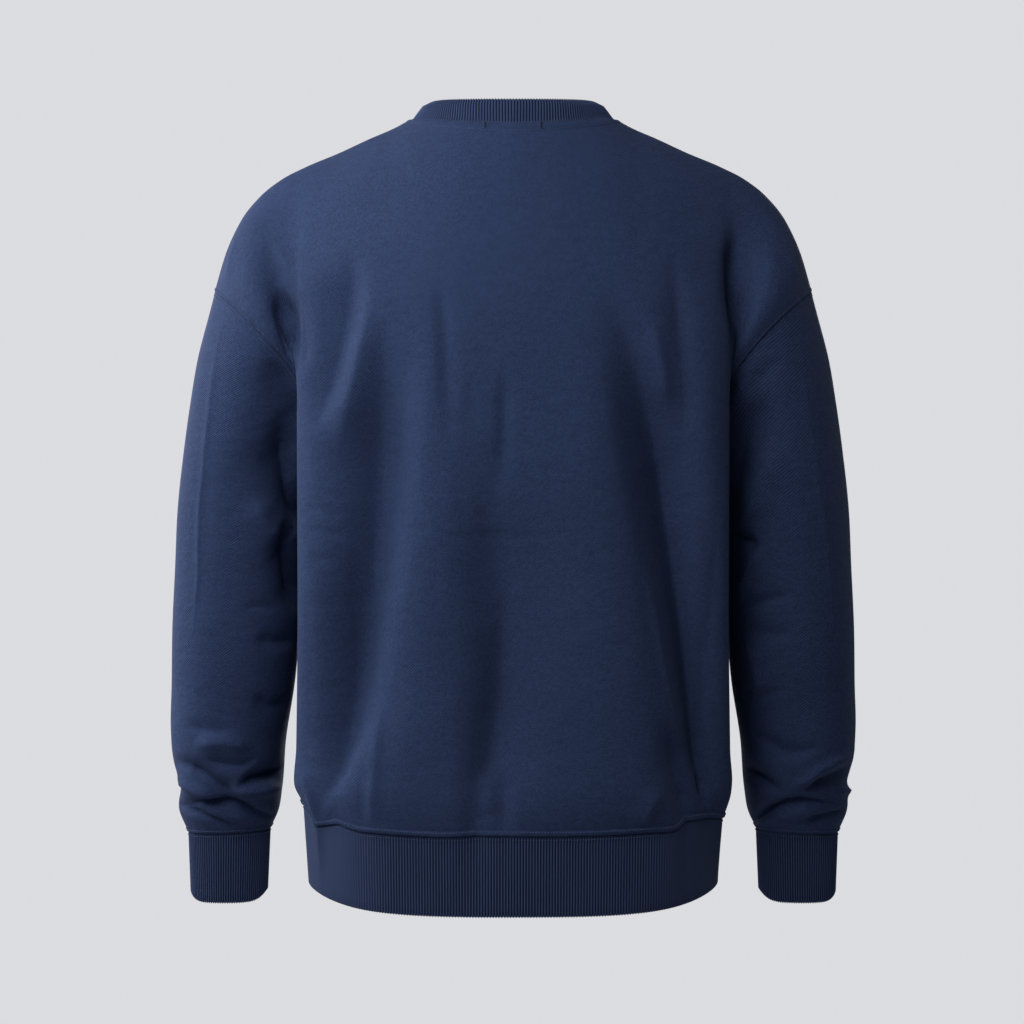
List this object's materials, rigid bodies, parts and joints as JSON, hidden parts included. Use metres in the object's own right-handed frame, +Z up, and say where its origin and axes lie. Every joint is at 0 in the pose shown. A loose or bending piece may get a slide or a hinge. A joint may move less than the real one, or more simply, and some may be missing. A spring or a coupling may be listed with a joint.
{
  "type": "crewneck sweatshirt",
  "caption": "Long-sleeved pullover sweatshirt, filled out and hollow as when worn, with dropped shoulders and ribbed crew neck, hem and cuffs.",
  "frame": {"origin": "centre of the neck, level with where the shoulders start, where the wearer's shoulders hold the garment up", "axes": "+Z up along the body, +Y towards the back, +X towards the wearer's left arm"},
  "size_m": [0.626, 0.2558, 0.7247],
  "materials": {
    "fleece": "soft matt sweatshirt jersey in deep navy, fine diagonal knit face",
    "rib": "matt one by one rib knit in the same navy, a little darker in its furrows"
  },
  "bodies": {
    "root": {"back": "fleece", "front": "fleece", "sleeve_left": "fleece", "sleeve_right": "fleece", "collar": "rib", "hem_rib": "rib", "cuff_left": "rib", "cuff_right": "rib"}
  },
  "joints": []
}
